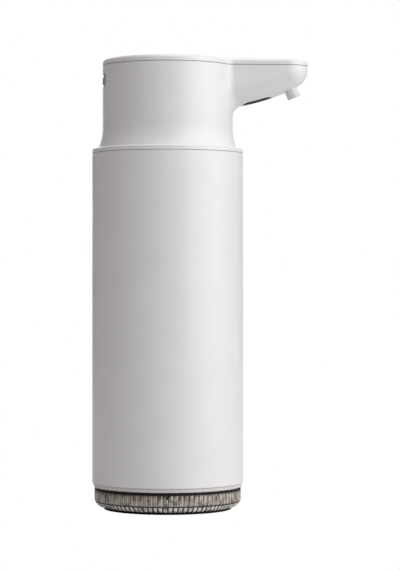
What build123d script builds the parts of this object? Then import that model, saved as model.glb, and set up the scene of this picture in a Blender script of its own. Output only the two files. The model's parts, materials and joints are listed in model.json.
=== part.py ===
from build123d import *
import math
import os

# Touch-free soap dispenser that hangs on a wall screw or stands on its foot.
# Row frame in millimetres: +Z up, +X towards the spout, the wall is on the -X side.
# The origin is the centre of the foot's underside.
# Names ending in _Z are heights, _X and _Y places, _R radii, _T thicknesses, _DEG degrees.

# ---- shells -------------------------------------------------------------------
SLEEVE_R = 35.0            # outer radius of the plain cylinder
SHELL = 1.8                # wall of the moulded white shells
GAP = 0.25                 # shadow gap between shells
FIT = 0.1                  # play between parts that sit in one another
TOTAL_H = 208.0            # foot to top cover
OVER = 1.0                 # how far a cutting tool runs past the part
CROSS_ARM = 0.55           # screw recess: arm length and half width by head radius, depth by height
CROSS_HALF = 0.14
CROSS_DEPTH = 0.45
UPRIGHT = 0.9              # an edge is upright if its direction rises more than this

SLEEVE_Z1 = 164.6
SLEEVE_FOOT_R = 34.3       # the sleeve's bevelled lower end
SLEEVE_LIP = (34.55, 12.0)
SLEEVE_LIP_Z = 12.2
SLEEVE_LEDGE_R = 31.7      # inner ledge that the chassis sits on
SLEEVE_LEDGE_H = 2.0

HEAD_Z0 = 164.8
RIM_Z = 166.5
LEDGE_R = 32.2
LEDGE_Z = 167.2
FLARE_SAG = 0.45           # hollow of the flare between ledge and neck
FLARE_SLOPE = 0.6          # how far the inner wall of the flare drops for its inset
NECK_R = 30.2
NECK_Z = 175.8             # the flare ends here
SEAM_Z = 205.0             # head housing meets the top cover
COVER_EDGE_R = 1.5
SKIRT_T = 1.1              # locating skirt under the top cover
SKIRT_DROP = 1.3

# ---- spout --------------------------------------------------------------------
SPOUT_X = 65.0             # axis to spout tip
SPOUT_ROOT_X = 15.0        # the spout starts inside the neck
SPOUT_END_R = 10.4         # the spout's round end, seen from above
SPOUT_TAPER_DEG = 2.4      # each side's angle to the centre line
UNDER_ROOT = (30.2, 186.2)  # the rising underside passes through these two points
UNDER_RISE = (59.6, 195.5)
UNDER_R = 85.0             # and is bent to this radius
CROWN_R = 13.0             # roundness of the underside, side to side
SPOUT_EDGE_R = 8.4         # rounding of the spout's lower edges
BLEND_R = 5.0              # cove between neck and spout

SENSOR_X = (34.6, 48.3)
SENSOR_HALF_W = 4.6
SENSOR_CORNER_R = 3.5
SENSOR_T = 1.5
SENSOR_BOARD = (41.5, 0, 197.6)
SENSOR_BOARD_SIZE = (15.0, 13.0, 1.0)
SENSOR_TILT_DEG = 14.0
DIODE_R = 1.5
DIODE_LEN = 3.2
DIODE_PITCH = 6.8
CABLE_T = 0.4
CABLE_Y = (4.4, 8.4)
CABLE_RISE = 1.6           # the cable starts this far above the main board
CABLE_LINE = ((12.6, 0.0), (31.0, 0.0), (35.6, 1.15), (37.6, 0.65))

NOZZLE_R = 3.05
NOZZLE_LEN = 6.4
NOZZLE_BARB_R = 1.6
NOZZLE_BARB_LEN = 2.2
NOZZLE_TILT_DEG = 24.0
NOZZLE_MOUTH = (58.75, 0.0, 190.7)

# ---- charging port and button -------------------------------------------------
PORT_Z = 198.2             # charging port centre
PORT_HALF_W = 11.0
PORT_HALF_H = 3.4
PORT_PAD_X = -26.4         # the wall is thickened inwards to here round the port
PORT_PAD_HALF_W = 13.0
PORT_PAD_Z = (193.6, 203.0)
PORT_WINDOW = (4.8, 1.95)  # half width and half height of the hole for the socket
RECESS = 0.4
FLAP_T = 0.8
FLAP_GAP = 0.5
FLAP_TAB = (4.5, 1.4)      # half width and half height of the pull tab
FLAP_PLUG = (3.9, 1.1)     # half width and half height of the inner plug
FLAP_PLUG_X = (-29.4, -27.9)
FLAP_HINGE = (-29.4, 195.45)   # x and z of the line that the flap turns about
FLAP_BEAD_R = 0.35
FLAP_BEAD_LEN = 6.0
SOCKET_HALF = (4.47, 1.63)
SOCKET_WALL = 0.3
SOCKET_X = (-26.2, -18.9)
SOCKET_TONGUE = (3.3, 0.35)

BUTTON_R = 7.95
BUTTON_SINK = 0.2          # the button's top lies this far under the cover's
BUTTON_DROP = 0.5          # the cap reaches this far below the seam
BUTTON_EDGE_R = 0.5
BUTTON_DISH_R = 60.0
BUTTON_DISH_DEPTH = 0.5
BUTTON_FLANGE = 1.2
BUTTON_STEM_R = 2.0
BUTTON_STEM_Z = 201.4
LIGHT_RING_R = 9.6
LIGHT_RING_GAP = 0.3

# ---- wall hanger --------------------------------------------------------------
HANGER_Z = (142.5, 163.0)
HANGER_HALF_W = 9.5
HANGER_X = -28.6           # inner face of the insert
HANGER_POCKET_X = (-32.6, -30.0)
HANGER_POCKET_HALF_W = 5.5
HANGER_POCKET_WALL = 1.2
KEYHOLE_Z = 148.0
KEYHOLE_R = 4.2
KEYHOLE_SLOT = 2.2
KEYHOLE_RISE = 9.0

# ---- tank, gasket and foot ----------------------------------------------------
FOOT_R = 29.5
FOOT_H = 1.6
GRIP_R = 34.0              # ribbed ring at the bottom of the tank
GRIP_Z0 = 1.0
GRIP_Z1 = 9.1
GRIP_TURN = [(31.7, 1.7), (33.1, 3.1)]
GRIP_BULGE_Z = 5.4
GRIP_CHAMFER = 0.3
RIBS = 90
RIB_DEPTH = 0.5
RIB_FLAT = 0.3             # share of the rib pitch that is flat
RIB_VALLEY = 0.65          # place of the valley, as a share of the pitch
GASKET_R = 33.9
GASKET_Z1 = 10.4

TANK_R = 31.4
TANK_WALL = 1.2
TANK_FLOOR_Z = 3.6
TANK_RIM_Z = 136.0
LUGS = 3
LUG_FIRST_DEG = 60.0
LUG_R = 32.6               # bayonet lugs of the tank
LUG_Z = (14.0, 17.0)
LUG_DEG = 20.0
SLOT_DEG = 26.0
SLOT_R = 32.8
BAYONET_IN_R = 31.75
BAYONET_Z1 = 13.6

# ---- chassis and liquid path --------------------------------------------------
FLOOR_Z = 139.5            # underside of the chassis floor
FLOOR_T = 2.0
FLOOR_R = 32.9
CUP_R = 13.6               # round wall that steadies the motor
CUP_WALL = 1.3
CUP_Z1 = 149.0
SEAL_R = (29.4, 31.5)      # face seal on the tank's rim
POST_R = 2.8               # screw posts of the head
POST_Z1 = 174.0
POST_BORE_R = 1.1
POST_BORE_Z1 = 152.0
SCREW_RING_R = 26.0        # chassis screws
SCREW_COUNT = 4
SCREW_FIRST_DEG = 45.0
SCREW_HOLE_R = 1.35
CHASSIS_SCREW = (9.5, 1.1, 2.6, 1.6)   # length, radius, head radius, head height
BOARD_SCREW = (5.5, 0.9, 1.8, 1.2)
MOTOR_SCREW = (3.2, 0.8, 1.6, 1.0)

PUMP_X = 8.0               # motor and pump axis
PUMP_TUBE_R = 11.7         # radius of the tube's bend in the pump
SUCTION_X = 22.0
SUCTION_Y = -PUMP_TUBE_R
SUCTION_HOLE_R = 2.7
SUCTION_STEM_R = 1.75
SUCTION_STEM_Z = (133.5, 146.5)
SUCTION_COLLAR_R = 2.4
SUCTION_FLANGE_R = 3.6
SUCTION_BORE_R = 1.0
ORING_Z = (139.9, 141.1)
DIP_TUBE_R = 2.75
DIP_PLAY = 0.01            # round the dip tube in its cup
DIP_TUBE_Z = (8.0, 138.0)
STRAINER_Z = (5.0, 6.0, 14.0)
STRAINER_SLOT = (9.0, 1.0, 1.6)
STRAINER_SLOT_Z = 7.0
SUCTION_HOSE_R = 2.45
SUCTION_HOSE_Z0 = 143.6
SUCTION_HOSE_BEND = 3.2
OUTLET_HOSE = (2.3, 1.65)
OUTLET_BEND = 2.8
OUTLET_RUN = [(22.8, PUMP_TUBE_R, 183.5), (25.8, 4.0, 192.0), (29.5, 0, 202.2), (50.5, 0, 203.0)]
OUTLET_BARB = (6.5, 9.5)   # the hose's last run, measured up from the nozzle's mouth

# ---- battery ------------------------------------------------------------------
CELL_X = -17.5             # battery axis
CELL_R = 7.0
CELL_Z = (143.0, 192.5)
CELL_TIP_R = 2.6
CELL_TIP_Z = 193.4
CRADLE_T = 1.4
CRADLE_Z1 = 190.0
CRADLE_OPENING = (3.2, 146.0, 186.0)   # how far off the axis it starts, and its heights
CRADLE_SLIT = (2.0, 150.0, 178.0)      # half width and heights
CONTACT_R = (4.4, 4.0)     # lower and upper spring plate
CONTACT_Z1 = 193.8
CONTACT_TAIL = (1.0, 0.2)

# ---- motor, gears and pump ----------------------------------------------------
MODULE = 0.5               # gear train: 12 teeth driving 36, twice
PINION_TEETH = 12
WHEEL_TEETH = 36
PRESSURE_DEG = 20.0
ADDENDUM = 0.85            # tooth heights, in modules
DEDENDUM = 1.2
TOOTH_SHARE = 0.38         # tooth thickness as a share of pi over the teeth
FLANK_STEPS = 4
GEAR_PITCH = MODULE * (PINION_TEETH + WHEEL_TEETH) / 2
IDLER_DEG = 120.0          # direction from the motor axis to the idler
IDLER_X = PUMP_X + GEAR_PITCH * math.cos(math.radians(IDLER_DEG))
IDLER_Y = GEAR_PITCH * math.sin(math.radians(IDLER_DEG))
RUNNING = 0.05             # radial clearance of a running shaft

CASE_Z = (164.5, 176.5)    # gearbox case
CASE_R = (11.8, 10.6)
CASE_FLOOR = 1.6
PINION_Z = (167.6, 170.6)
OUTPUT_Z = (171.6, 174.4)
PIN_R = 1.0
PIN_Z = (164.9, 177.3)

CAN_R = 12.2
CAN_BORE_R = 11.4
CAN_Z0 = 144.0
CAN_ROOF = 0.9
END_CAP_Z = (142.4, 144.0, 145.6)
END_BOSS_R = 3.0
END_BOSS_Z = 147.4
TERMINAL = (1.0, 8.5, 0.3, 149.0)      # half width, offset, half thickness, top
BUSH_R = 2.6
BUSH_Z = (162.3, 166.0)
MAGNET_R = (11.35, 9.4)
MAGNET_Z = (147.0, 160.0)
MAGNET_DEG = 130.0
SHAFT_R = 1.0
SHAFT_Z = (143.6, 171.0)
CORE_R = 8.6
CORE_Z = (149.5, 158.5)
CORE_SLOT_R = 1.2
CORE_SLOTS = 3
CORE_SLOT_DEG = 30
COMMUTATOR_R = 2.4
COMMUTATOR_Z = 147.6
MOTOR_SCREW_Y = 5.5

PUMP_Z = (178.5, 188.5)    # pump chamber, above its base plate
PUMP_R = 15.6
RACE_R = 13.6
PUMP_ROOF = 1.4
PUMP_SHAFT_R = 2.0
PUMP_SHAFT_Z1 = 187.4
PLATE_R = 9.2
PLATE_Z = ((178.9, 180.4), (186.2, 187.4))
TUBE_Z = 183.5
TUBE_R = 1.8
TUBE_BORE_R = 1.1
TUBE_TAIL_X = 18.0
ROLLER_ORBIT = 6.9
ROLLER_R = 2.7
ROLLER_Z = (180.7, 185.9)
ROLLER_PIN_Z = (179.2, 187.2)
ROLLERS = 3

# ---- main board ---------------------------------------------------------------
BOARD_TOP = 196.55
BOARD_T = 1.2
BOARD_X = (-25.8, 14.0)
BOARD_HALF_W = 15.3
BOARD_R = 28.0             # its back follows the shell
BOARD_SCREW_AT = (2.0, 12.8)
BOSS_R = 2.0
CHIPS = [                  # x0, x1, y0, y1 and height of the parts on the board
    (-12, -6, -9, -3, 1.2), (-12, -8, 3, 8, 1.4), (7, 12, -11, -7, 2.4), (9.4, 12.6, 3.8, 9, 2.4),
]
COIL = (2.4, 3.0, -3.0, 9.0)           # radius, height, x, y
LAMP_RING_R = 6.6
LAMP = (0.8, 0.5, 0.7)
SWITCH_HALF = 3.0
SWITCH_H = 3.3
PLUNGER_R = 1.7
PLUNGER_Z = 200.5


# ---- small helpers ------------------------------------------------------------
def disc(radius, z0, z1, x=0.0, y=0.0):
    """A solid cylinder standing between two heights."""
    return Pos(x, y, z0) * Cylinder(radius, z1 - z0, align=(Align.CENTER, Align.CENTER, Align.MIN))


def drill(radius, x=0.0, y=0.0, z0=-OVER, z1=TOTAL_H + OVER):
    """A cutting cylinder, right through the object unless heights are given."""
    return disc(radius, z0, z1, x, y)


def ring(outer, inner, z0, z1, x=0.0, y=0.0):
    """A disc with a hole right through it."""
    return disc(outer, z0, z1, x, y) - drill(inner, x, y, z0 - OVER, z1 + OVER)


def block(x0, x1, y0, y1, z0, z1):
    """A box between two corners."""
    middle = Pos((x0 + x1) / 2, (y0 + y1) / 2, (z0 + z1) / 2)
    return middle * Box(x1 - x0, y1 - y0, z1 - z0)


def sector(outer, inner, z0, z1, mid_deg, span_deg):
    """A piece of a ring, centred on one direction."""
    reach = outer + OVER
    side = reach * math.tan(math.radians(span_deg / 2))
    wedge = Polygon((0, 0), (reach, -side), (reach, side), align=None)
    cutter = Pos(0, 0, z0) * extrude(wedge, amount=z1 - z0)
    return ring(outer, inner, z0, z1) & (Rot(0, 0, mid_deg) * cutter)


def ring_points(radius, count, first_deg):
    """Evenly spaced points on a circle about the main axis."""
    turns = [math.radians(first_deg + 360.0 * i / count) for i in range(count)]
    return [(radius * math.cos(a), radius * math.sin(a)) for a in turns]


def turned(points):
    """A solid of revolution about Z from its radius, height outline."""
    outline = Polygon(*points, align=None)
    return revolve(Plane.XZ * outline, Axis.Z, 360)


def pill(half_w, half_h, x0, x1):
    """A bar along X with a pill-shaped section, level with the charging port."""
    section = Plane.YZ * (Pos(0, PORT_Z) * SlotOverall(2 * half_w, 2 * half_h))
    return Pos(x0, 0, 0) * extrude(section, amount=x1 - x0)


def tube(points, radius, bore, bend):
    """A hose along straight runs joined by tangent arcs."""
    path = FilletPolyline(*points, radius=bend)
    start = Plane(origin=path @ 0, z_dir=path % 0)
    return sweep(start * Circle(radius) - start * Circle(bore), path=path)


def screw(x, y, z_head, size, up):
    """A pan-head screw with a cross recess; up is the shank's direction along Z."""
    length, radius, head_r, head_t = size
    shoulder = z_head + up * head_t
    tip = shoulder + up * length
    head = disc(head_r, min(z_head, shoulder), max(z_head, shoulder), x, y)
    shank = disc(radius, min(shoulder, tip), max(shoulder, tip), x, y)
    arm = head_r * CROSS_ARM
    half = head_r * CROSS_HALF
    deep = head_t * CROSS_DEPTH
    cross = block(x - arm, x + arm, y - half, y + half, z_head - deep, z_head + deep)
    cross += block(x - half, x + half, y - arm, y + arm, z_head - deep, z_head + deep)
    return head + shank - cross


def involute(angle):
    """The involute function of an angle in radians."""
    return math.tan(angle) - angle


def gear(teeth, z0, z1, x, y, phase_deg):
    """A solid spur gear with involute flanks; a tooth is centred on phase_deg."""
    pressure = math.radians(PRESSURE_DEG)
    pitch_r = MODULE * teeth / 2
    base_r = pitch_r * math.cos(pressure)
    tip_r = pitch_r + ADDENDUM * MODULE
    root_r = pitch_r - DEDENDUM * MODULE
    flank_r = max(base_r, root_r + FIT)
    half_base = TOOTH_SHARE * math.pi / teeth + involute(pressure)
    flank = [(root_r, half_base)]
    for step in range(FLANK_STEPS):
        radius = flank_r + (tip_r - flank_r) * step / (FLANK_STEPS - 1)
        flank.append((radius, half_base - involute(math.acos(base_r / radius))))
    points = []
    for tooth in range(teeth):
        centre = math.radians(phase_deg) + 2 * math.pi * tooth / teeth
        sides = [(r, centre - a) for r, a in flank]
        sides += [(r, centre + a) for r, a in reversed(flank)]
        points += [(r * math.cos(a), r * math.sin(a)) for r, a in sides]
    return Pos(x, y, z0) * extrude(Polygon(*points, align=None), amount=z1 - z0)


# ---- shells -------------------------------------------------------------------
def neck_form(inset):
    """The turned part of the head: rim, ledge, concave flare and neck."""
    drop = inset * FLARE_SLOPE
    rim = (SLEEVE_R - inset, RIM_Z - drop)
    ledge = (LEDGE_R - inset, LEDGE_Z - drop)
    neck = (NECK_R - inset, NECK_Z)
    lines = Polyline((0, HEAD_Z0), (SLEEVE_R - inset, HEAD_Z0), rim, ledge)
    flare = SagittaArc(ledge, neck, FLARE_SAG)
    close = Polyline(neck, (NECK_R - inset, SEAM_Z), (0, SEAM_Z), (0, HEAD_Z0))
    return revolve(Plane.XZ * make_face(lines + flare + close), Axis.Z, 360)


def spout_plan(inset):
    """The spout from above: straight tapering sides and a round end."""
    taper = math.radians(SPOUT_TAPER_DEG)
    centre_x = SPOUT_X - SPOUT_END_R
    end_r = SPOUT_END_R - inset
    shoulder = (centre_x + end_r * math.sin(taper), end_r * math.cos(taper))
    root = (0, shoulder[1] + shoulder[0] * math.tan(taper))
    mirrored = (shoulder[0], -shoulder[1])
    sides = Polyline(mirrored, (0, -root[1]), root, shoulder)
    return make_face(sides + ThreePointArc(shoulder, (centre_x + end_r, 0), mirrored))


def under_centre():
    """Where the underside's lengthwise arc has its centre, as x and z."""
    run = UNDER_RISE[0] - UNDER_ROOT[0]
    rise = UNDER_RISE[1] - UNDER_ROOT[1]
    chord = math.hypot(run, rise)
    height = math.sqrt(UNDER_R ** 2 - chord ** 2 / 4)
    mid_x = (UNDER_RISE[0] + UNDER_ROOT[0]) / 2
    mid_z = (UNDER_RISE[1] + UNDER_ROOT[1]) / 2
    return mid_x - rise / chord * height, mid_z + run / chord * height


def under_barrel(inset):
    """A barrel lying across the spout whose skin is the crowned, rising underside."""
    radius = UNDER_R - inset
    crown = CROWN_R - inset
    half = crown - FIT
    shoulder = radius - crown + math.sqrt(crown ** 2 - half ** 2)
    staves = Polyline((-half, shoulder), (-half, 0), (half, 0), (half, shoulder))
    skin = ThreePointArc((half, shoulder), (0, radius), (-half, shoulder))
    x, z = under_centre()
    return Pos(x, 0, z) * Rot(0, 0, 90) * revolve(make_face(staves + skin), Axis.X, 360)


def spout_form(inset):
    """The spout: its plan cut by the crowned underside."""
    plan = Pos(0, 0, NECK_Z) * extrude(spout_plan(inset), amount=SEAM_Z - NECK_Z)
    keep = block(SPOUT_ROOT_X, SPOUT_X, -NECK_R, NECK_R, NECK_Z, SEAM_Z)
    return plan & keep & under_barrel(inset)


def rounded_head(inset):
    """Neck and spout together, the spout's lower edges rounded."""
    form = neck_form(inset) + spout_form(inset)
    rim = [e for e in form.edges() if e.center().X > NECK_R and e.center().Z < SEAM_Z - OVER
           and abs((e % 0.5).Z) < UPRIGHT]
    return fillet(rim, SPOUT_EDGE_R - inset)


def head_form():
    """The head's outside, with a cove round the spout's root."""
    form = rounded_head(0)
    joint = [e for e in form.edges()
             if e.center().X > SPOUT_ROOT_X and NECK_Z + OVER < e.center().Z < SEAM_Z - FIT
             and abs(math.hypot(e.center().X, e.center().Y) - NECK_R) < OVER]
    return fillet(joint, BLEND_R)


def port_pocket(depth, half_w, half_h):
    """A pill-shaped pocket sunk into the back of the neck, following its curve."""
    return pill(half_w, half_h, -SLEEVE_R, 0) - drill(NECK_R - depth)


def post_places():
    """Where the head's four screw posts stand."""
    return ring_points(SCREW_RING_R, SCREW_COUNT, SCREW_FIRST_DEG)


def make_head_housing():
    """The white head moulding, with its screw posts and charging pocket."""
    shell = head_form() - rounded_head(SHELL)
    for x, y in post_places():
        shell += disc(POST_R, FLOOR_Z + FLOOR_T, POST_Z1, x, y) & drill(NECK_R - FIT)
    pad = block(-NECK_R, PORT_PAD_X, -PORT_PAD_HALF_W, PORT_PAD_HALF_W, *PORT_PAD_Z)
    shell += pad & drill(NECK_R - FIT)
    shell -= port_pocket(RECESS + FLAP_T + FIT, PORT_HALF_W, PORT_HALF_H)
    half_w, half_h = PORT_WINDOW
    shell -= block(-SLEEVE_R, PORT_PAD_X + OVER, -half_w, half_w, PORT_Z - half_h, PORT_Z + half_h)
    for x, y in post_places():
        shell -= drill(POST_BORE_R, x, y, FLOOR_Z, POST_BORE_Z1)
    return shell - window_bar(0) - nozzle_bar(NOZZLE_R + FIT, -NOZZLE_LEN, NOZZLE_LEN + NOZZLE_BARB_LEN)


def window_bar(inset):
    """An upright bar with the sensor window's rounded outline."""
    length = SENSOR_X[1] - SENSOR_X[0] - 2 * inset
    width = 2 * (SENSOR_HALF_W - inset)
    outline = RectangleRounded(length, width, SENSOR_CORNER_R - inset)
    return Pos(sum(SENSOR_X) / 2, 0, NECK_Z) * extrude(outline, amount=SENSOR_BOARD[2] - NECK_Z)


def nozzle_up():
    """The direction up the nozzle's slanted axis."""
    lean = math.radians(NOZZLE_TILT_DEG)
    return Vector(-math.sin(lean), 0, math.cos(lean))


def nozzle_bar(radius, start, end):
    """A round bar on the nozzle's axis; distances run up from its mouth."""
    base = Plane(origin=Vector(*NOZZLE_MOUTH) + nozzle_up() * start, z_dir=nozzle_up())
    return extrude(base * Circle(radius), amount=end - start)


def make_nozzle_tip():
    """The pouring nozzle, with a barb inside the spout for the hose."""
    end = NOZZLE_LEN + NOZZLE_BARB_LEN
    body = nozzle_bar(NOZZLE_R, 0, NOZZLE_LEN) + nozzle_bar(NOZZLE_BARB_R, NOZZLE_LEN, end)
    return body - nozzle_bar(TUBE_BORE_R, -OVER, end + OVER)


def make_sensor_window():
    """The dark infrared window, flush with the spout's crowned underside."""
    return window_bar(FIT) & (spout_form(0) - spout_form(SENSOR_T))


def head_plan(inset):
    """The top outline of the head: the neck circle and the spout."""
    return Circle(NECK_R - inset) + spout_plan(inset)


def blended_plan():
    """The head's outer outline, with the coves beside the spout's root."""
    outline = head_plan(0)
    corners = [v for v in outline.vertices() if SPOUT_ROOT_X < v.X < NECK_R + OVER]
    return fillet(corners, BLEND_R)


def board_screw_places():
    """Where the two bosses for the main board stand."""
    x, y = BOARD_SCREW_AT
    return [(x, -y), (x, y)]


def upright(plan, z0, z1):
    """A plan outline raised between two heights."""
    return Pos(0, 0, z0) * extrude(plan, amount=z1 - z0)


def make_top_cover():
    """The thin top cover, its locating skirt and the two board bosses."""
    plate_z = TOTAL_H - SHELL
    slab = upright(blended_plan(), SEAM_Z + GAP, TOTAL_H)
    slab = fillet(slab.faces().sort_by(Axis.Z)[-1].edges(), COVER_EDGE_R)
    hollow = upright(head_plan(SHELL + FIT + SKIRT_T), SEAM_Z - SKIRT_DROP - OVER, plate_z)
    skirt = upright(head_plan(SHELL + FIT), SEAM_Z - SKIRT_DROP, plate_z)
    cover = slab + skirt - hollow
    cover -= block(-NECK_R, PORT_PAD_X + 2 * OVER, -PORT_PAD_HALF_W, PORT_PAD_HALF_W,
                   SEAM_Z - SKIRT_DROP - OVER, SEAM_Z)
    for x, y in board_screw_places():
        cover += disc(BOSS_R, BOARD_TOP, plate_z + FIT, x, y)
        cover -= drill(BOARD_SCREW[1], x, y, BOARD_TOP - OVER, BOARD_TOP + BOARD_SCREW[0])
    return cover - drill(LIGHT_RING_R)


def make_button_light_ring():
    """The light guide round the button, held by a flange under the cover."""
    bore = BUTTON_R + LIGHT_RING_GAP
    wall = ring(LIGHT_RING_R, bore, SEAM_Z, TOTAL_H - FIT)
    return wall + ring(LIGHT_RING_R + OVER, bore, SEAM_Z, TOTAL_H - SHELL)


def make_power_button():
    """The round top button, with its stem over the switch and a retaining flange."""
    cap_z0 = SEAM_Z - BUTTON_DROP
    cap = disc(BUTTON_R, cap_z0, TOTAL_H - BUTTON_SINK)
    cap = fillet(cap.faces().sort_by(Axis.Z)[-1].edges(), BUTTON_EDGE_R)
    cap -= Pos(0, 0, TOTAL_H + BUTTON_DISH_R - BUTTON_SINK - BUTTON_DISH_DEPTH) * Sphere(BUTTON_DISH_R)
    flange = disc(BUTTON_R + BUTTON_FLANGE, cap_z0 - OVER, cap_z0)
    return cap + flange + disc(BUTTON_STEM_R, BUTTON_STEM_Z, cap_z0 - OVER + FIT)


def make_port_cover():
    """The rubber flap over the charging port: plate, pull tab, inner plug and hinge bead."""
    depth = RECESS + FLAP_T
    plate = port_pocket(depth, PORT_HALF_W - FLAP_GAP, PORT_HALF_H - FLAP_GAP)
    plate &= drill(NECK_R - RECESS)
    tab = port_pocket(depth, *FLAP_TAB) & drill(NECK_R)
    half_w, half_h = FLAP_PLUG
    plug = block(*FLAP_PLUG_X, -half_w, half_w, PORT_Z - half_h, PORT_Z + half_h)
    x, z = FLAP_HINGE
    bead = Pos(x, 0, z) * Rot(90, 0, 0) * Cylinder(FLAP_BEAD_R, FLAP_BEAD_LEN)
    return plate + tab + plug + bead


def make_sleeve():
    """The long plain cylinder, with an inner ledge and the hanger's window."""
    outside = turned([
        (0, GASKET_Z1), (SLEEVE_FOOT_R, GASKET_Z1), SLEEVE_LIP, (SLEEVE_R, SLEEVE_LIP_Z),
        (SLEEVE_R, SLEEVE_Z1), (0, SLEEVE_Z1),
    ])
    sleeve = outside - drill(SLEEVE_R - SHELL)
    sleeve += ring(SLEEVE_R - SHELL + FIT, SLEEVE_LEDGE_R, FLOOR_Z - SLEEVE_LEDGE_H, FLOOR_Z)
    return sleeve - block(-SLEEVE_R - OVER, -NECK_R + OVER, -HANGER_HALF_W, HANGER_HALF_W, *HANGER_Z)


def keyhole_bar(radius, z):
    """A bar along X that cuts one round end of the keyhole."""
    return Pos(HANGER_POCKET_X[1] - OVER, 0, z) * Rot(0, -90, 0) * Cylinder(
        radius, 2 * SHELL + 3 * OVER, align=(Align.CENTER, Align.CENTER, Align.MIN))


def make_hanger_socket():
    """The keyhole insert in the back of the sleeve, with room for a screw head."""
    half_w = HANGER_HALF_W - FIT
    z0, z1 = HANGER_Z
    body = block(-SLEEVE_R, HANGER_X, -half_w, half_w, z0 + FIT, z1 - FIT) & drill(SLEEVE_R)
    body -= block(*HANGER_POCKET_X, -HANGER_POCKET_HALF_W, HANGER_POCKET_HALF_W,
                  z0 + HANGER_POCKET_WALL, z1 - HANGER_POCKET_WALL)
    body -= keyhole_bar(KEYHOLE_R, KEYHOLE_Z)
    body -= keyhole_bar(KEYHOLE_SLOT, KEYHOLE_Z + KEYHOLE_RISE)
    return body - block(-SLEEVE_R - OVER, HANGER_POCKET_X[0] + OVER, -KEYHOLE_SLOT, KEYHOLE_SLOT,
                        KEYHOLE_Z, KEYHOLE_Z + KEYHOLE_RISE)


# ---- tank and its bayonet -------------------------------------------------------
def ribbed_bar():
    """An upright bar with a shallow wave of ribs round it."""
    pitch = 2 * math.pi / RIBS
    valley_r = GRIP_R - RIB_DEPTH
    wave = []
    for rib in range(RIBS):
        for place, radius in ((0, GRIP_R), (RIB_FLAT, GRIP_R), (RIB_VALLEY, valley_r)):
            angle = (rib + place) * pitch
            wave.append((radius * math.cos(angle), radius * math.sin(angle)))
    return extrude(Polygon(*wave, align=None), amount=GRIP_Z1)


def lug_degs():
    """The directions of the bayonet lugs."""
    return [LUG_FIRST_DEG + 360 / LUGS * i for i in range(LUGS)]


def make_tank():
    """The clear tank: ribbed grip ring, tall cup and bayonet lugs."""
    grip = turned([
        (0, GRIP_Z0), (FOOT_R, GRIP_Z0), *GRIP_TURN, (GRIP_R, GRIP_BULGE_Z),
        (GRIP_R, GRIP_Z1 - GRIP_CHAMFER), (GRIP_R - GRIP_CHAMFER, GRIP_Z1), (0, GRIP_Z1),
    ])
    tank = (grip & ribbed_bar()) + disc(TANK_R, GRIP_Z1 - OVER, TANK_RIM_Z)
    tank -= disc(TANK_R - TANK_WALL, TANK_FLOOR_Z, TANK_RIM_Z + OVER)
    for mid_deg in lug_degs():
        tank += sector(LUG_R, TANK_R - TANK_WALL / 3, *LUG_Z, mid_deg, LUG_DEG)
    return tank - disc(FOOT_R + FIT, 0, FOOT_H)


def make_foot_pad():
    """The round rubber foot."""
    return disc(FOOT_R, 0, FOOT_H)


def lug_slots(z0, z1):
    """The gaps that let the lugs through."""
    return [sector(SLOT_R, TANK_R - OVER, z0 - OVER, z1 + OVER, deg, SLOT_DEG) for deg in lug_degs()]


def make_gasket():
    """The black ring between tank and sleeve, notched to let the lugs through."""
    gasket = ring(GASKET_R, TANK_R + RUNNING, GRIP_Z1, GASKET_Z1)
    return gasket - lug_slots(GRIP_Z1, GASKET_Z1)


def make_bayonet_ring():
    """The lip in the sleeve's mouth that the lugs turn over."""
    lip = ring(SLEEVE_R - SHELL, BAYONET_IN_R, GASKET_Z1 + FIT, BAYONET_Z1)
    return lip - lug_slots(GASKET_Z1, BAYONET_Z1)


# ---- chassis --------------------------------------------------------------------
def make_chassis():
    """The inner floor that carries motor and battery and closes the tank."""
    floor_top = FLOOR_Z + FLOOR_T
    chassis = disc(FLOOR_R, FLOOR_Z, floor_top)
    chassis += ring(CUP_R, CUP_R - CUP_WALL, floor_top, CUP_Z1, PUMP_X, 0)
    chassis -= drill(SUCTION_HOLE_R, SUCTION_X, SUCTION_Y)
    for x, y in post_places():
        chassis -= drill(SCREW_HOLE_R, x, y)
    return chassis


def make_chassis_gasket():
    """The face seal that the tank's rim presses on."""
    inner, outer = SEAL_R
    return ring(outer, inner, TANK_RIM_Z, FLOOR_Z)


def make_chassis_screws():
    """The screws that hold the chassis under the head's posts."""
    head_z = FLOOR_Z - CHASSIS_SCREW[3]
    return Compound(children=[screw(x, y, head_z, CHASSIS_SCREW, 1) for x, y in post_places()])


def make_suction_port():
    """The barbed fitting that takes the liquid through the chassis floor."""
    at = (SUCTION_X, SUCTION_Y)
    stem = disc(SUCTION_STEM_R, *SUCTION_STEM_Z, *at)
    flange = disc(SUCTION_FLANGE_R, FLOOR_Z - OVER, FLOOR_Z, *at)
    collar = disc(SUCTION_COLLAR_R, FLOOR_Z - OVER, FLOOR_Z + FLOOR_T + OVER, *at)
    return stem + flange + collar - drill(SUCTION_BORE_R, *at)


def make_suction_oring():
    """The seal in the floor round the suction fitting."""
    return ring(SUCTION_HOLE_R, SUCTION_COLLAR_R, *ORING_Z, SUCTION_X, SUCTION_Y)


def make_dip_tube():
    """The stiff tube that reaches down to the tank's floor."""
    return ring(DIP_TUBE_R, SUCTION_STEM_R, *DIP_TUBE_Z, SUCTION_X, SUCTION_Y)


def make_dip_strainer():
    """The slotted strainer on the foot of the dip tube."""
    z0, floor_top, z1 = STRAINER_Z
    at = (SUCTION_X, SUCTION_Y)
    cup = ring(SUCTION_FLANGE_R, DIP_TUBE_R + DIP_PLAY, z0, z1, *at)
    cup += disc(SUCTION_FLANGE_R, z0, floor_top, *at)
    for turn in (0, 90):
        cup -= Pos(*at, STRAINER_SLOT_Z) * Rot(0, 0, turn) * Box(*STRAINER_SLOT)
    return cup


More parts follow.
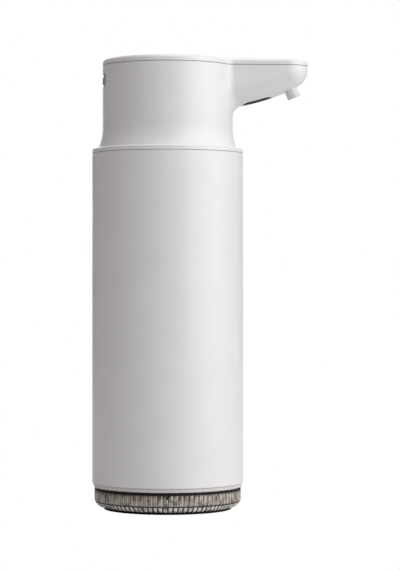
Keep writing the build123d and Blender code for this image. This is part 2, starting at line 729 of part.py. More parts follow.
# ---- battery --------------------------------------------------------------------
def make_battery_cell():
    """One rechargeable cell standing on end, with its raised contact."""
    z0, z1 = CELL_Z
    return disc(CELL_R, z0, z1, CELL_X) + disc(CELL_TIP_R, z1 - FIT, CELL_TIP_Z, CELL_X)


def make_battery_cradle():
    """The open holder that clips round the cell."""
    outer = CELL_R + CRADLE_T
    holder = disc(outer, FLOOR_Z + FLOOR_T, CRADLE_Z1, CELL_X)
    holder -= drill(CELL_R + FIT, CELL_X, 0, CELL_Z[0])
    holder -= drill(CONTACT_R[0] + FIT, CELL_X)
    off, z0, z1 = CRADLE_OPENING
    holder -= block(CELL_X + off, CELL_X + outer + OVER, -outer, outer, z0, z1)
    half, z0, z1 = CRADLE_SLIT
    return holder - block(CELL_X - outer - OVER, CELL_X + outer + OVER, -half, half, z0, z1)


def make_battery_contacts():
    """The spring plates at the cell's two ends; the upper one reaches the board."""
    low_r, high_r = CONTACT_R
    half, half_t = CONTACT_TAIL
    lower = disc(low_r, FLOOR_Z + FLOOR_T, CELL_Z[0], CELL_X)
    upper = disc(high_r, CELL_TIP_Z, CONTACT_Z1, CELL_X)
    upper += block(CELL_X - half, CELL_X + half, -half_t, half_t, CONTACT_Z1 - FIT, BOARD_TOP - BOARD_T)
    return Compound(children=[lower.solid(), upper.solid()])


# ---- drive ----------------------------------------------------------------------
def motor_screw_places():
    """Where the two motor screws stand."""
    return [(PUMP_X, y) for y in (-MOTOR_SCREW_Y, MOTOR_SCREW_Y)]


def make_motor_can():
    """The steel can, open below for its end cap, with holes for bearing and screws."""
    can = disc(CAN_R, CAN_Z0, CASE_Z[0], PUMP_X)
    can -= drill(CAN_BORE_R, PUMP_X, 0, CAN_Z0 - OVER, CASE_Z[0] - CAN_ROOF)
    for x, y in motor_screw_places():
        can -= drill(MOTOR_SCREW[1], x, y)
    return can - drill(BUSH_R, PUMP_X)


def make_motor_bearing():
    """The bush that carries the shaft in the can."""
    return ring(BUSH_R, SHAFT_R + RUNNING, *BUSH_Z, PUMP_X, 0)


def make_motor_magnets():
    """Two arc magnets lining the can."""
    parts = [Pos(PUMP_X, 0, 0) * sector(*MAGNET_R, *MAGNET_Z, turn, MAGNET_DEG) for turn in (90, 270)]
    return Compound(children=[part.solid() for part in parts])


def make_motor_end_cap():
    """The plastic end of the motor, with the lower bearing and two terminals."""
    z0, can_z0, z1 = END_CAP_Z
    cap = disc(CAN_BORE_R, can_z0, z1, PUMP_X) + disc(CAN_R, z0, can_z0, PUMP_X)
    cap += disc(END_BOSS_R, z1 - FIT, END_BOSS_Z, PUMP_X)
    cap -= drill(SHAFT_R + RUNNING, PUMP_X, 0, SHAFT_Z[0] - 2 * FIT)
    half_w, offset, half_t, top = TERMINAL
    for y in (-offset, offset):
        cap += block(PUMP_X - half_w, PUMP_X + half_w, y - half_t, y + half_t, z1 - FIT, top)
    return cap


def make_motor_armature():
    """The wound rotor on its shaft."""
    core = disc(CORE_R, *CORE_Z, PUMP_X)
    for x, y in ring_points(CORE_R, CORE_SLOTS, CORE_SLOT_DEG):
        core -= drill(CORE_SLOT_R, PUMP_X + x, y)
    collar = disc(COMMUTATOR_R, COMMUTATOR_Z, CORE_Z[0] + FIT, PUMP_X)
    return disc(SHAFT_R, *SHAFT_Z, PUMP_X) + core + collar


def make_drive_pinion():
    """The pinion pressed on the motor shaft."""
    return gear(PINION_TEETH, *PINION_Z, PUMP_X, 0, IDLER_DEG) - drill(SHAFT_R, PUMP_X)


def make_idler_gear():
    """The compound gear: a wheel driven by the pinion, a pinion driving the output."""
    back = IDLER_DEG + 180
    half_tooth = 180 / WHEEL_TEETH
    wheel = gear(WHEEL_TEETH, *PINION_Z, IDLER_X, IDLER_Y, back + half_tooth)
    small = gear(PINION_TEETH, PINION_Z[1] - FIT, OUTPUT_Z[1], IDLER_X, IDLER_Y, back)
    return wheel + small - drill(PIN_R + RUNNING, IDLER_X, IDLER_Y)


def make_idler_pin():
    """The fixed pin that the idler turns on."""
    return disc(PIN_R, *PIN_Z, IDLER_X, IDLER_Y)


def case_outline(radius):
    """A rounded outline round the motor axis and the idler."""
    return make_hull(
        (Pos(PUMP_X, 0) * Circle(radius)).edges() + (Pos(IDLER_X, IDLER_Y) * Circle(radius)).edges()
    )


def make_gearbox_case():
    """The gear case, open on top where the pump base closes it."""
    z0, z1 = CASE_Z
    outer, inner = CASE_R
    case = upright(case_outline(outer), z0, z1) - upright(case_outline(inner), z0 + CASE_FLOOR, z1 + OVER)
    case -= drill(BUSH_R + RUNNING, PUMP_X)
    for x, y in motor_screw_places():
        case -= drill(MOTOR_SCREW[1], x, y)
    return case - drill(PIN_R, IDLER_X, IDLER_Y)


def make_pump_base():
    """The plate between gearbox and pump, with the rotor's bearing."""
    z0, z1 = CASE_Z[1], PUMP_Z[0]
    base = upright(case_outline(CASE_R[0]), z0, z1) + disc(PUMP_R, z0, z1, PUMP_X)
    base -= drill(PUMP_SHAFT_R + RUNNING, PUMP_X)
    return base - drill(PIN_R, IDLER_X, IDLER_Y, z0 - OVER, PIN_Z[1] + FIT)


def make_output_gear():
    """The wheel on the pump shaft."""
    half_tooth = 180 / WHEEL_TEETH
    return gear(WHEEL_TEETH, *OUTPUT_Z, PUMP_X, 0, IDLER_DEG + half_tooth) - drill(PUMP_SHAFT_R, PUMP_X)


def roller_places():
    """Where the three roller axes stand."""
    return [(PUMP_X + x, y) for x, y in ring_points(ROLLER_ORBIT, ROLLERS, 90)]


def make_pump_rotor():
    """The pump shaft and the two plates that carry the rollers."""
    rotor = disc(PUMP_SHAFT_R, OUTPUT_Z[0], PUMP_SHAFT_Z1, PUMP_X)
    for z0, z1 in PLATE_Z:
        rotor += disc(PLATE_R, z0, z1, PUMP_X)
    for x, y in roller_places():
        rotor -= drill(PIN_R, x, y)
    return rotor


def make_roller_pins():
    """The pins that the rollers turn on."""
    return Compound(children=[disc(PIN_R, *ROLLER_PIN_Z, x, y) for x, y in roller_places()])


def make_roller(index):
    """One squeezing roller."""
    x, y = roller_places()[index]
    return ring(ROLLER_R, PIN_R + RUNNING, *ROLLER_Z, x, y)


def make_pump_cover():
    """The race that the tube is squeezed against, closed on top, open to the front."""
    z0, z1 = PUMP_Z
    cover = disc(PUMP_R, z0, z1 + PUMP_ROOF, PUMP_X)
    cover -= disc(RACE_R, z0 - OVER, z1, PUMP_X)
    half_w = RACE_R + OVER
    return cover - block(PUMP_X, PUMP_X + PUMP_R + OVER, -half_w, half_w, z0 - OVER, z1)


def make_motor_screws():
    """Two screws through the case floor that hold the motor."""
    head_z = CASE_Z[0] + CASE_FLOOR + MOTOR_SCREW[3]
    return Compound(children=[screw(x, y, head_z, MOTOR_SCREW, -1) for x, y in motor_screw_places()])


def make_pump_tube():
    """The soft tube bent round inside the pump, with two straight tails."""
    y = PUMP_TUBE_R
    lower = Line((TUBE_TAIL_X, -y, TUBE_Z), (PUMP_X, -y, TUBE_Z))
    bend = ThreePointArc((PUMP_X, -y, TUBE_Z), (PUMP_X - y, 0, TUBE_Z), (PUMP_X, y, TUBE_Z))
    upper = Line((PUMP_X, y, TUBE_Z), (TUBE_TAIL_X, y, TUBE_Z))
    path = Wire([lower.edge(), bend.edge(), upper.edge()])
    start = Plane(origin=(TUBE_TAIL_X, -y, TUBE_Z), z_dir=(-1, 0, 0))
    return sweep(start * Circle(TUBE_R) - start * Circle(TUBE_BORE_R), path=path)


def make_suction_tube():
    """The hose from the suction fitting up to the pump."""
    x, y = SUCTION_X, SUCTION_Y
    points = [(x, y, SUCTION_HOSE_Z0), (x, y, TUBE_Z), (TUBE_TAIL_X, y, TUBE_Z)]
    return tube(points, SUCTION_HOSE_R, SUCTION_STEM_R, SUCTION_HOSE_BEND)


def make_outlet_tube():
    """The hose from the pump up into the spout and down to the nozzle."""
    low, high = [Vector(*NOZZLE_MOUTH) + nozzle_up() * reach for reach in OUTLET_BARB]
    points = [(TUBE_TAIL_X, PUMP_TUBE_R, TUBE_Z), *OUTLET_RUN, tuple(high), tuple(low)]
    return tube(points, *OUTLET_HOSE, OUTLET_BEND)


# ---- electronics ----------------------------------------------------------------
def make_main_board():
    """The main circuit board, hung under the top cover."""
    underside = BOARD_TOP - BOARD_T
    board = block(*BOARD_X, -BOARD_HALF_W, BOARD_HALF_W, underside, BOARD_TOP) & drill(BOARD_R)
    for x, y in board_screw_places():
        board -= drill(BOARD_SCREW[1], x, y)
    return board


def make_board_screws():
    """The screws that hold the board to the cover's bosses."""
    head_z = BOARD_TOP - BOARD_T - BOARD_SCREW[3]
    return Compound(children=[screw(x, y, head_z, BOARD_SCREW, 1) for x, y in board_screw_places()])


def make_board_chips():
    """The controller, driver, coil and indicator lamps on the board."""
    parts = [block(x0, x1, y0, y1, BOARD_TOP, BOARD_TOP + height) for x0, x1, y0, y1, height in CHIPS]
    radius, height, x, y = COIL
    parts.append(disc(radius, BOARD_TOP, BOARD_TOP + height, x, y))
    half_l, half_w, height = LAMP
    for x, y in ring_points(LAMP_RING_R, 2, 0):
        parts.append(block(x - half_l, x + half_l, y - half_w, y + half_w, BOARD_TOP, BOARD_TOP + height))
    return Compound(children=parts)


def make_usb_socket():
    """The charging socket: a flat steel sleeve round a contact tongue."""
    half_w, half_h = SOCKET_HALF
    x0, x1 = SOCKET_X
    shell = pill(half_w, half_h, x0, x1)
    shell -= pill(half_w - SOCKET_WALL, half_h - SOCKET_WALL, x0 - OVER, x1 - 2 * SOCKET_WALL)
    half_w, half_h = SOCKET_TONGUE
    return shell + block(x0 + OVER, x1 - SOCKET_WALL, -half_w, half_w, PORT_Z - half_h, PORT_Z + half_h)


def make_tact_switch():
    """The switch under the power button."""
    top = BOARD_TOP + SWITCH_H
    body = block(-SWITCH_HALF, SWITCH_HALF, -SWITCH_HALF, SWITCH_HALF, BOARD_TOP, top)
    return body + disc(PLUNGER_R, top - FIT, PLUNGER_Z)


def sensor_place():
    """The tilted frame of the sensor board."""
    return Pos(*SENSOR_BOARD) * Rot(0, -SENSOR_TILT_DEG, 0)


def make_sensor_board():
    """The small board over the sensor window."""
    return sensor_place() * Box(*SENSOR_BOARD_SIZE)


def make_ir_diodes():
    """The infrared emitter and receiver under the sensor board."""
    lens = Cylinder(DIODE_R, DIODE_LEN) + Pos(0, 0, -DIODE_LEN / 2) * Sphere(DIODE_R)
    drop = (SENSOR_BOARD_SIZE[2] + DIODE_LEN) / 2
    parts = [sensor_place() * Pos(x, 0, -drop) * lens for x in (-DIODE_PITCH / 2, DIODE_PITCH / 2)]
    return Compound(children=[part.solid() for part in parts])


def make_sensor_cable():
    """The flat cable from the sensor board back to the main board."""
    z = BOARD_TOP + CABLE_RISE
    low = [(x, z - drop) for x, drop in CABLE_LINE]
    outline = low + [(x, height + CABLE_T) for x, height in reversed(low)]
    side = Plane.XZ * Polygon(*outline, align=None)
    return Pos(0, CABLE_Y[1], 0) * extrude(side, amount=CABLE_Y[1] - CABLE_Y[0])


NODES = {
    "head_housing": make_head_housing,
    "top_cover": make_top_cover,
    "button_light_ring": make_button_light_ring,
    "power_button": make_power_button,
    "port_cover": make_port_cover,
    "sensor_window": make_sensor_window,
    "sensor_board": make_sensor_board,
    "ir_diodes": make_ir_diodes,
    "nozzle_tip": make_nozzle_tip,
    "sleeve": make_sleeve,
    "hanger_socket": make_hanger_socket,
    "bayonet_ring": make_bayonet_ring,
    "tank_gasket": make_gasket,
    "tank": make_tank,
    "foot_pad": make_foot_pad,
    "chassis": make_chassis,
    "chassis_gasket": make_chassis_gasket,
    "chassis_screws": make_chassis_screws,
    "suction_port": make_suction_port,
    "suction_oring": make_suction_oring,
    "suction_tube": make_suction_tube,
    "dip_tube": make_dip_tube,
    "dip_strainer": make_dip_strainer,
    "battery_cell": make_battery_cell,
    "battery_cradle": make_battery_cradle,
    "battery_contacts": make_battery_contacts,
    "motor_can": make_motor_can,
    "motor_bearing": make_motor_bearing,
    "motor_magnets": make_motor_magnets,
    "motor_end_cap": make_motor_end_cap,
    "motor_armature": make_motor_armature,
    "drive_pinion": make_drive_pinion,
    "idler_gear": make_idler_gear,
    "idler_pin": make_idler_pin,
    "gearbox_case": make_gearbox_case,
    "motor_screws": make_motor_screws,
    "pump_base": make_pump_base,
    "output_gear": make_output_gear,
    "pump_rotor": make_pump_rotor,
    "roller_pins": make_roller_pins,
    "pump_cover": make_pump_cover,
    "pump_tube": make_pump_tube,
    "outlet_tube": make_outlet_tube,
    "main_board": make_main_board,
    "board_screws": make_board_screws,
    "board_chips": make_board_chips,
    "usb_socket": make_usb_socket,
    "tact_switch": make_tact_switch,
    "sensor_cable": make_sensor_cable,
}


def write(name, shape):
    """One STEP file for one node."""
    export_step(shape, "parts/" + name + ".step")


os.makedirs("parts", exist_ok=True)
for node, make in NODES.items():
    write(node, make())
for number in range(ROLLERS):
    write("roller_" + str(number + 1), make_roller(number))
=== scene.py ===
import json
import math

import bpy
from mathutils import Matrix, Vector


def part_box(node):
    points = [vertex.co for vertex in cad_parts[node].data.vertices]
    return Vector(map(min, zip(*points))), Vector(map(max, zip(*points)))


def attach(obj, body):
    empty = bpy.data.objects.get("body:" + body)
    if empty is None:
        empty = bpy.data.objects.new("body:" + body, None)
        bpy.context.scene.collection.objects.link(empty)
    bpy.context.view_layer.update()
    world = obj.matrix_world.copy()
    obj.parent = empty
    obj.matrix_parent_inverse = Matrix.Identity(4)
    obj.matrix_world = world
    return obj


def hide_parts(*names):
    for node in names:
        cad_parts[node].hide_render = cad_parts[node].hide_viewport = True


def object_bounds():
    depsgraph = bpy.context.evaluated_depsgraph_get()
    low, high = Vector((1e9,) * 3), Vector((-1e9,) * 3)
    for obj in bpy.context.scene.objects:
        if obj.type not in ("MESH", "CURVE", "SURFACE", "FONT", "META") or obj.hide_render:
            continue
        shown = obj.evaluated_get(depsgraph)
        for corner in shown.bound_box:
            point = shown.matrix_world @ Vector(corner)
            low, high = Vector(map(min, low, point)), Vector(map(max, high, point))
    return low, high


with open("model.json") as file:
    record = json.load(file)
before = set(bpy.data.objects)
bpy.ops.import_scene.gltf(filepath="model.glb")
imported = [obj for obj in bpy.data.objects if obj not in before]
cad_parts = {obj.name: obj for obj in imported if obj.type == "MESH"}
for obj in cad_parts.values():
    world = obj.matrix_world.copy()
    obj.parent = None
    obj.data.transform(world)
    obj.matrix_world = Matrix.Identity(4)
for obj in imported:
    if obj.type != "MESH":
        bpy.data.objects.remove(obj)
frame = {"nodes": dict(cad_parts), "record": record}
cad_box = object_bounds()

# ---- where things are, in metres ------------------------------------------------
low, high = cad_box
MIDDLE_X = (low[0] + high[0]) / 2
MIDDLE_Z = (low[2] + high[2]) / 2
FOOT_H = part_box("foot_pad")[1][2]
FOOT_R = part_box("foot_pad")[1][0]
GRIP_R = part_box("tank")[1][0]
GRIP_Z1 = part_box("tank_gasket")[0][2]
TANK_Z0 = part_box("tank")[0][2]
TANK_RIM_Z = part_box("tank")[1][2]

# ---- the tank, in metres ------------------------------------------------------------
RIBS = 90                   # round the grip ring
RIB_STEPS = 8               # mesh columns for each rib
RIB_DEPTH = 0.0005
GRIP_BEND = 0.0042          # rounding of the ring's lower edge
GRIP_BEND_STEPS = 10
GRIP_BEND_START_DEG = -84
GRIP_CHAMFER = 0.0006       # height of the ring's upper edge
RIB_FADE_H = 0.002          # the ribs grow to full depth over this height
CUP_INSET = 0.0026          # from the ring's outside to the cup's
CUP_WALL = 0.0012
CUP_FLOOR_Z = 0.0036
CUP_RING_Z = 0.03           # an extra row of the cup's wall
CUP_EDGE = 0.0004           # rounding of the cup's rim
FOOT_PLAY = 0.0001
MARK_HALF_W = 0.0017        # the locking mark: half width, height, depth into the ring
MARK_H = 0.0019
MARK_DEPTH = 0.0006
MARK_DROP = 0.0003          # below the ring's upper edge
MARK_PROUD = -0.00004       # how far it stands out of the ring
BEVEL_UNIT = 0.02           # heights on the sleeve's bevel are shares of this

# ---- camera and lights -----------------------------------------------------------------
LENS_MM = 135.5
SENSOR_MM = 36
CAMERA_DISTANCE = 0.997
CAMERA_Z = 0.1061
AIM_SHIFT = 0.0003
FLOOR_HALF = 4.0
LIT_SKY = (0.258, 0.244, 0.231)
LIGHTS = [                  # name, azimuth, elevation, distance, size, power
    ("key", 63, 14, 1.6, 1.8, 28.8),
    ("top", 15, 78, 1.4, 0.9, 12),
    ("back", 183, 20, 1.6, 1.0, 7),
]


# ---- node helpers ---------------------------------------------------------------
def new_material(name):
    """An empty node material with its Principled shader."""
    material = bpy.data.materials.new(name)
    material.use_nodes = True
    tree = material.node_tree
    return material, tree, tree.nodes["Principled BSDF"]


def noise(tree, scale, detail=4.0, along_z=1.0):
    """A noise texture in object space; along_z under 1 draws it out into upright streaks."""
    place = tree.nodes.new("ShaderNodeTexCoord")
    stretch = tree.nodes.new("ShaderNodeMapping")
    stretch.inputs["Scale"].default_value = (1, 1, along_z)
    node = tree.nodes.new("ShaderNodeTexNoise")
    node.inputs["Scale"].default_value = scale
    node.inputs["Detail"].default_value = detail
    tree.links.new(place.outputs["Object"], stretch.inputs["Vector"])
    tree.links.new(stretch.outputs["Vector"], node.inputs["Vector"])
    return node.outputs["Fac"]


def ramp(tree, value, stops):
    """A colour ramp over a value; stops are (position, colour)."""
    node = tree.nodes.new("ShaderNodeValToRGB")
    elements = node.color_ramp.elements
    while len(elements) < len(stops):
        elements.new(0.5)
    for element, (position, colour) in zip(elements, stops):
        element.position = position
        element.color = (*colour, 1)
    tree.links.new(value, node.inputs["Fac"])
    return node.outputs["Color"]


def bump(tree, shader, value, strength, distance):
    """Fine relief from a value."""
    node = tree.nodes.new("ShaderNodeBump")
    node.inputs["Strength"].default_value = strength
    node.inputs["Distance"].default_value = distance
    tree.links.new(value, node.inputs["Height"])
    tree.links.new(node.outputs["Normal"], shader.inputs["Normal"])


def spread(colour, amount):
    """Two colours a little darker and a little lighter than the given one."""
    dark = tuple(max(0, c * (1 - amount)) for c in colour)
    light = tuple(min(1, c * (1 + amount)) for c in colour)
    return dark, light


def plastic(name, colour, roughness, grain=9000, depth=0.00002, mottle=0.015, coat=0.0):
    """Moulded plastic: faint mottling, uneven gloss and a fine spark-eroded grain."""
    material, tree, shader = new_material(name)
    dark, light = spread(colour, mottle)
    broad = noise(tree, 60)
    tree.links.new(ramp(tree, broad, [(0.35, dark), (0.65, light)]), shader.inputs["Base Color"])
    low_r, high_r = roughness * 0.9, roughness * 1.1
    gloss = ramp(tree, noise(tree, 140), [(0.3, (low_r,) * 3), (0.7, (high_r,) * 3)])
    tree.links.new(gloss, shader.inputs["Roughness"])
    bump(tree, shader, noise(tree, grain, 2), 0.25, depth)
    shader.inputs["Coat Weight"].default_value = coat
    return material


def rubber(name, colour):
    """Matt rubber with a slightly dusty bloom."""
    material = plastic(name, colour, 0.62, 5200, 0.00004, 0.12)
    shader = material.node_tree.nodes["Principled BSDF"]
    shader.inputs["Sheen Weight"].default_value = 0.02
    shader.inputs["Specular IOR Level"].default_value = 0.2
    return material


def dark_window(name):
    """Infrared-passing plastic: nearly black, with a weak soft reflection."""
    material = plastic(name, (0.004, 0.0035, 0.004), 0.3, 7000, 0.00001)
    material.node_tree.nodes["Principled BSDF"].inputs["Specular IOR Level"].default_value = 0.04
    return material


def metal(name, colour, roughness, brushed=False):
    """Metal with fine scratches, drawn out along Z where it is brushed."""
    material, tree, shader = new_material(name)
    dark, light = spread(colour, 0.08)
    value = noise(tree, 2600, 2.0, 0.04 if brushed else 1.0)
    tree.links.new(ramp(tree, value, [(0.3, dark), (0.7, light)]), shader.inputs["Base Color"])
    shader.inputs["Metallic"].default_value = 1.0
    shader.inputs["Roughness"].default_value = roughness
    bump(tree, shader, value, 0.2, 0.00001)
    return material


def clear(name, colour, roughness=0.06):
    """Smoky transparent plastic with faint flow lines."""
    material, tree, shader = new_material(name)
    dark, light = spread(colour, 0.03)
    tree.links.new(ramp(tree, noise(tree, 90), [(0.3, dark), (0.7, light)]), shader.inputs["Base Color"])
    shader.inputs["Transmission Weight"].default_value = 1.0
    shader.inputs["IOR"].default_value = 1.12
    shader.inputs["Roughness"].default_value = roughness
    bump(tree, shader, noise(tree, 400, 1), 0.08, 0.00002)
    return material


def math_node(tree, operation, first, second=None):
    """One Math node; second may be a socket or a number."""
    node = tree.nodes.new("ShaderNodeMath")
    node.operation = operation
    tree.links.new(first, node.inputs[0])
    if isinstance(second, (int, float)):
        node.inputs[1].default_value = second
    elif second is not None:
        tree.links.new(second, node.inputs[1])
    return node.outputs[0]


def combine(tree, first, second, blend="MULTIPLY", share=None):
    """Two colours multiplied, or mixed by a share."""
    node = tree.nodes.new("ShaderNodeMix")
    node.data_type = "RGBA"
    node.blend_type = blend
    node.inputs["Factor"].default_value = 1.0
    if share is not None:
        tree.links.new(share, node.inputs["Factor"])
    tree.links.new(first, node.inputs["A"])
    tree.links.new(second, node.inputs["B"])
    return node.outputs["Result"]


def painted_rib_shade(tree, turn, count, dark):
    """Vertical stripes round the axis, dark where they start: painted shade in the valleys between the
    ribs.
    """
    wave = math_node(tree, "SINE", math_node(tree, "MULTIPLY", turn, count))
    share = math_node(tree, "MULTIPLY_ADD", wave, 0.5)
    share.node.inputs[2].default_value = 0.5
    return ramp(tree, share, [(0.1, dark), (0.5, (1, 1, 1))])


def grip_plastic_painted_light(name):
    """The ribbed ring, opaque and painted to look like smoky clear plastic, the tank's floor showing
    through as a dark line of painted shade; its colour by height is painted shade and a painted
    reflection.
    """
    material, tree, shader = new_material(name)
    axes, height = object_height(tree, GRIP_Z1)
    # Painted light by height: painted shade on the lowest curve, a bright band of painted floor
    # reflection above it, a dark band of painted shade for the tank's floor seen through, then painted
    # shade darkening up to the gasket.
    painted_height_light = ramp(tree, height, [
        (0.12, (0.01, 0.01, 0.01)), (0.15, (0.85, 0.83, 0.8)), (0.37, (0.75, 0.73, 0.7)),
        (0.385, (0.012, 0.012, 0.01)), (0.445, (0.012, 0.012, 0.01)), (0.47, (0.47, 0.435, 0.39)),
        (0.86, (0.38, 0.35, 0.31)), (1.0, (0.12, 0.11, 0.095)),
    ])
    turn = math_node(tree, "ARCTAN2", axes.outputs["Y"], axes.outputs["X"])
    # Painted shade in the rib valleys: deep on the lower band, faint on the upper band.
    low_rib_shade = painted_rib_shade(tree, turn, RIBS, (0.06, 0.06, 0.055))
    high_rib_shade = painted_rib_shade(tree, turn, 2 * RIBS, (0.5, 0.49, 0.47))
    upper = ramp(tree, height, [(0.4, (0, 0, 0)), (0.43, (1, 1, 1))])
    ribs = combine(tree, low_rib_shade, high_rib_shade, "MIX", upper)
    streaks = ramp(tree, noise(tree, 560, 3, 0.6), [(0.38, (0.36, 0.3, 0.25)), (0.54, (1, 1, 1))])
    colour = combine(tree, combine(tree, painted_height_light, ribs), streaks)
    tree.links.new(colour, shader.inputs["Base Color"])
    shader.inputs["Roughness"].default_value = 0.14
    shader.inputs["Coat Weight"].default_value = 0.6
    shader.inputs["Coat Roughness"].default_value = 0.05
    return material


def object_height(tree, unit):
    """The height above the foot, as a share of a length."""
    place = tree.nodes.new("ShaderNodeTexCoord")
    axes = tree.nodes.new("ShaderNodeSeparateXYZ")
    tree.links.new(place.outputs["Object"], axes.inputs["Vector"])
    return axes, math_node(tree, "DIVIDE", axes.outputs["Z"], unit)


def sleeve_plastic_painted_bevel(name, colour):
    """The shell plastic, with a line of painted shade at the small ledge above the bevel, and painted
    shade with a faintly warm painted reflection on the bevel.
    """
    material = plastic(name, colour, 0.36)
    tree = material.node_tree
    shader = tree.nodes["Principled BSDF"]
    base = shader.inputs["Base Color"].links[0].from_socket
    height = object_height(tree, BEVEL_UNIT)[1]
    # Painted light by height on the sleeve: painted shade and a faint warm painted reflection on the
    # bevel, a dark line of painted shade under the ledge above it.
    painted_bevel_light = ramp(tree, height, [
        (0.52, (0.8, 0.7, 0.71)), (0.55, (0.92, 0.86, 0.87)), (0.592, (0.9, 0.85, 0.86)),
        (0.6, (0.6, 0.56, 0.56)), (0.613, (0.7, 0.67, 0.67)), (0.625, (1, 1, 1)),
    ])
    tree.links.new(combine(tree, base, painted_bevel_light), shader.inputs["Base Color"])
    return material


WHITE = (0.682, 0.674, 0.681)
MATERIALS = {
    "white_shell": plastic("white_shell", WHITE, 0.36),
    "white_sleeve": sleeve_plastic_painted_bevel("white_sleeve", WHITE),
    "white_cover": plastic("white_cover", WHITE, 0.36),
    "button_white": plastic("button_white", (0.66, 0.66, 0.66), 0.5),
    "light_guide": plastic("light_guide", (0.6, 0.66, 0.7), 0.3),
    "grey_rubber": rubber("grey_rubber", (0.34, 0.32, 0.3)),
    "black_rubber": rubber("black_rubber", (0.005, 0.005, 0.005)),
    "seal_rubber": rubber("seal_rubber", (0.05, 0.05, 0.05)),
    "ir_black": dark_window("ir_black"),
    "clear_tank": clear("clear_tank", (0.9, 0.88, 0.86)),
    "circuit_green": plastic("circuit_green", (0.02, 0.13, 0.06), 0.35, mottle=0.2),
    "chip_black": plastic("chip_black", (0.02, 0.02, 0.02), 0.55),
    "steel": metal("steel", (0.6, 0.6, 0.6), 0.3, True),
    "zinc_screw": metal("zinc_screw", (0.66, 0.66, 0.63), 0.28),
    "bronze": metal("bronze", (0.55, 0.36, 0.17), 0.4),
    "magnet_grey": plastic("magnet_grey", (0.09, 0.09, 0.095), 0.6, mottle=0.1),
    "copper_core": metal("copper_core", (0.6, 0.27, 0.13), 0.35, True),
    "gear_white": plastic("gear_white", (0.72, 0.7, 0.62), 0.45),
    "frame_black": plastic("frame_black", (0.03, 0.03, 0.033), 0.55),
    "pump_grey": plastic("pump_grey", (0.2, 0.21, 0.23), 0.5),
    "cell_wrap": plastic("cell_wrap", (0.03, 0.12, 0.4), 0.25, coat=0.3),
    "hose": plastic("hose", (0.6, 0.6, 0.57), 0.4),
    "dip_plastic": plastic("dip_plastic", (0.62, 0.65, 0.66), 0.3),
    "hanger_white": plastic("hanger_white", (0.62, 0.62, 0.62), 0.5),
}

for row in frame["record"]["subparts"]:
    node = frame["nodes"][row["node"]]
    node.data.materials.clear()
    node.data.materials.append(MATERIALS[row["material_slot"]])


# ---- pieces in place of CAD nodes -------------------------------------------------
def new_piece(name, verts, faces, materials, indices=None):
    """A mesh object in the row frame."""
    mesh = bpy.data.meshes.new(name)
    mesh.from_pydata(verts, [], faces)
    for material in materials:
        mesh.materials.append(material)
    if indices:
        mesh.polygons.foreach_set("material_index", indices)
    mesh.polygons.foreach_set("use_smooth", [True] * len(mesh.polygons))
    mesh.set_sharp_from_angle(angle=math.radians(40))
    mesh.update()
    piece = bpy.data.objects.new(name, mesh)
    bpy.context.collection.objects.link(piece)
    return piece


def lathe(name, outline, materials, steps, ribs=0, depth=0.0):
    """A closed turned body from (radius, height, rib share, material) points, axis to axis."""
    verts = [(0, 0, outline[0][1])]
    for radius, height, share, _ in outline[1:-1]:
        for i in range(steps):
            angle = 2 * math.pi * i / steps
            wave = (0.5 - 0.5 * math.sin(ribs * angle)) ** 2
            r = radius - depth * share * wave
            verts.append((r * math.cos(angle), r * math.sin(angle), height))
    verts.append((0, 0, outline[-1][1]))
    last = len(verts) - 1
    rings = len(outline) - 2
    faces = []
    indices = []
    for i in range(steps):
        j = (i + 1) % steps
        faces.append((0, 1 + j, 1 + i))
        indices.append(outline[0][3])
        for row in range(rings - 1):
            a = 1 + row * steps
            b = a + steps
            faces.append((a + i, a + j, b + j, b + i))
            indices.append(outline[row + 1][3])
        top = 1 + (rings - 1) * steps
        faces.append((top + i, top + j, last))
        indices.append(outline[rings][3])
    return new_piece(name, verts, faces, materials, indices)


def arc_points(centre, radius, start_deg, end_deg, count):
    """Points on an arc in the radius, height plane."""
    turns = [math.radians(start_deg + (end_deg - start_deg) * i / count) for i in range(count + 1)]
    return [(centre[0] + radius * math.cos(a), centre[1] + radius * math.sin(a)) for a in turns]


def make_tank():
    """The tank with its ribbed grip ring, rounded below, and the tall clear cup."""
    cup_r = GRIP_R - CUP_INSET
    bore_r = cup_r - CUP_WALL
    foot_r = FOOT_R + FOOT_PLAY
    centre = (GRIP_R - GRIP_BEND, TANK_Z0 + GRIP_BEND)
    outline = [(0, FOOT_H, 0, 1), (foot_r, FOOT_H, 0, 1), (foot_r, TANK_Z0, 0, 1)]
    for radius, height in arc_points(centre, GRIP_BEND, GRIP_BEND_START_DEG, 0, GRIP_BEND_STEPS):
        share = min(1.0, 0.25 + (height - TANK_Z0) / RIB_FADE_H)
        outline.append((radius, height, share, 1))
    outline += [(GRIP_R, GRIP_Z1 - GRIP_CHAMFER, 1, 1), (GRIP_R - CUP_EDGE, GRIP_Z1, 0.3, 1)]
    outline += [(cup_r, GRIP_Z1, 0, 0), (cup_r, CUP_RING_Z, 0, 0), (cup_r, TANK_RIM_Z - CUP_EDGE, 0, 0)]
    outline += [(cup_r - 0.75 * CUP_EDGE, TANK_RIM_Z, 0, 0), (bore_r + 0.75 * CUP_EDGE, TANK_RIM_Z, 0, 0)]
    outline += [(bore_r, TANK_RIM_Z - CUP_EDGE, 0, 0), (bore_r, CUP_FLOOR_Z + 0.001, 0, 0)]
    outline += [(bore_r - 0.001, CUP_FLOOR_Z, 0, 0), (0, CUP_FLOOR_Z, 0, 0)]
    return lathe("tank_body", outline, [MATERIALS["clear_tank"], grip_plastic_painted_light("grip_ring")],
                 RIBS * RIB_STEPS, RIBS, RIB_DEPTH)


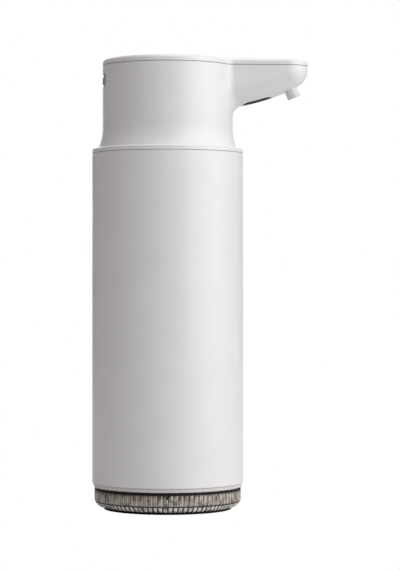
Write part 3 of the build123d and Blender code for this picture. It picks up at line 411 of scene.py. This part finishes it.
def make_lock_mark():
    """The small dark triangle under the gasket that shows where the lugs go in."""
    radius = GRIP_R + MARK_PROUD
    top = GRIP_Z1 - MARK_DROP
    corners = [(-MARK_HALF_W, top), (MARK_HALF_W, top), (0.0, top - MARK_H)]
    verts = []
    for reach in (radius, radius - MARK_DEPTH):
        verts += [(x, -math.sqrt(reach ** 2 - x ** 2), z) for x, z in corners]
    faces = [(2, 1, 0), (3, 4, 5), (0, 1, 4, 3), (1, 2, 5, 4), (2, 0, 3, 5)]
    return new_piece("lock_mark", verts, faces, [MATERIALS["black_rubber"]])


tank = make_tank()
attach(tank, "tank")
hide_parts("tank")
mark = make_lock_mark()
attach(mark, "tank")


# ---- stage ----------------------------------------------------------------------
def seen_share(tree):
    """1 for rays that go straight or through clear plastic to the camera, 0 for light on surfaces."""
    path = tree.nodes.new("ShaderNodeLightPath")
    return math_node(tree, "MAXIMUM", path.outputs["Is Camera Ray"], path.outputs["Is Transmission Ray"])


def camera_mix(tree, seen, lit):
    """One colour for what the camera sees, another for the light it gives."""
    mix = tree.nodes.new("ShaderNodeMix")
    mix.data_type = "RGBA"
    mix.inputs["A"].default_value = (*lit, 1)
    mix.inputs["B"].default_value = (*seen, 1)
    tree.links.new(seen_share(tree), mix.inputs["Factor"])
    return mix.outputs["Result"]


def make_world():
    """A white backdrop that gives a dimmer, faintly warm light."""
    world = bpy.data.worlds.new("studio")
    bpy.context.scene.world = world
    world.use_nodes = True
    tree = world.node_tree
    back = tree.nodes["Background"]
    tree.links.new(camera_mix(tree, (1.0, 1.0, 1.0), LIT_SKY), back.inputs["Color"])


def make_floor():
    """A pale floor that lights the object from below and shows as plain white."""
    half = FLOOR_HALF
    corners = [(-half, -half, 0), (half, -half, 0), (half, half, 0), (-half, half, 0)]
    material, tree, shader = new_material("floor")
    shader.inputs["Base Color"].default_value = (0.68, 0.68, 0.68, 1)
    shader.inputs["Roughness"].default_value = 0.9
    clear_view = tree.nodes.new("ShaderNodeBsdfTransparent")
    mix = tree.nodes.new("ShaderNodeMixShader")
    tree.links.new(seen_share(tree), mix.inputs["Fac"])
    tree.links.new(shader.outputs["BSDF"], mix.inputs[1])
    tree.links.new(clear_view.outputs["BSDF"], mix.inputs[2])
    tree.links.new(mix.outputs["Shader"], tree.nodes["Material Output"].inputs["Surface"])
    floor = new_piece("floor", corners, [(0, 1, 2, 3)], [material])


def area_light(name, azimuth, elevation, distance, size, power):
    """A soft square light aimed at the object; azimuth 0 is the camera's side, +90 is +X."""
    data = bpy.data.lights.new(name, "AREA")
    data.shape = "SQUARE"
    data.size = size
    data.energy = power
    light = bpy.data.objects.new(name, data)
    bpy.context.collection.objects.link(light)
    a, e = math.radians(azimuth), math.radians(elevation)
    light.location = (
        distance * math.sin(a) * math.cos(e),
        -distance * math.cos(a) * math.cos(e),
        MIDDLE_Z + distance * math.sin(e),
    )
    light.rotation_euler = (math.pi / 2 - e, 0, a)


def make_camera():
    """A long lens a metre away, a little above the object's middle."""
    data = bpy.data.cameras.new("camera")
    data.lens = LENS_MM
    data.sensor_width = SENSOR_MM
    camera = bpy.data.objects.new("camera", data)
    bpy.context.collection.objects.link(camera)
    camera.location = (MIDDLE_X, -CAMERA_DISTANCE, CAMERA_Z)
    tilt = math.atan2(CAMERA_Z - MIDDLE_Z + AIM_SHIFT, CAMERA_DISTANCE)
    camera.rotation_euler = (math.pi / 2 - tilt, 0, 0)
    bpy.context.scene.camera = camera


make_world()
make_floor()
for row in LIGHTS:
    area_light(*row)
make_camera()
bpy.context.scene.view_settings.view_transform = "Standard"
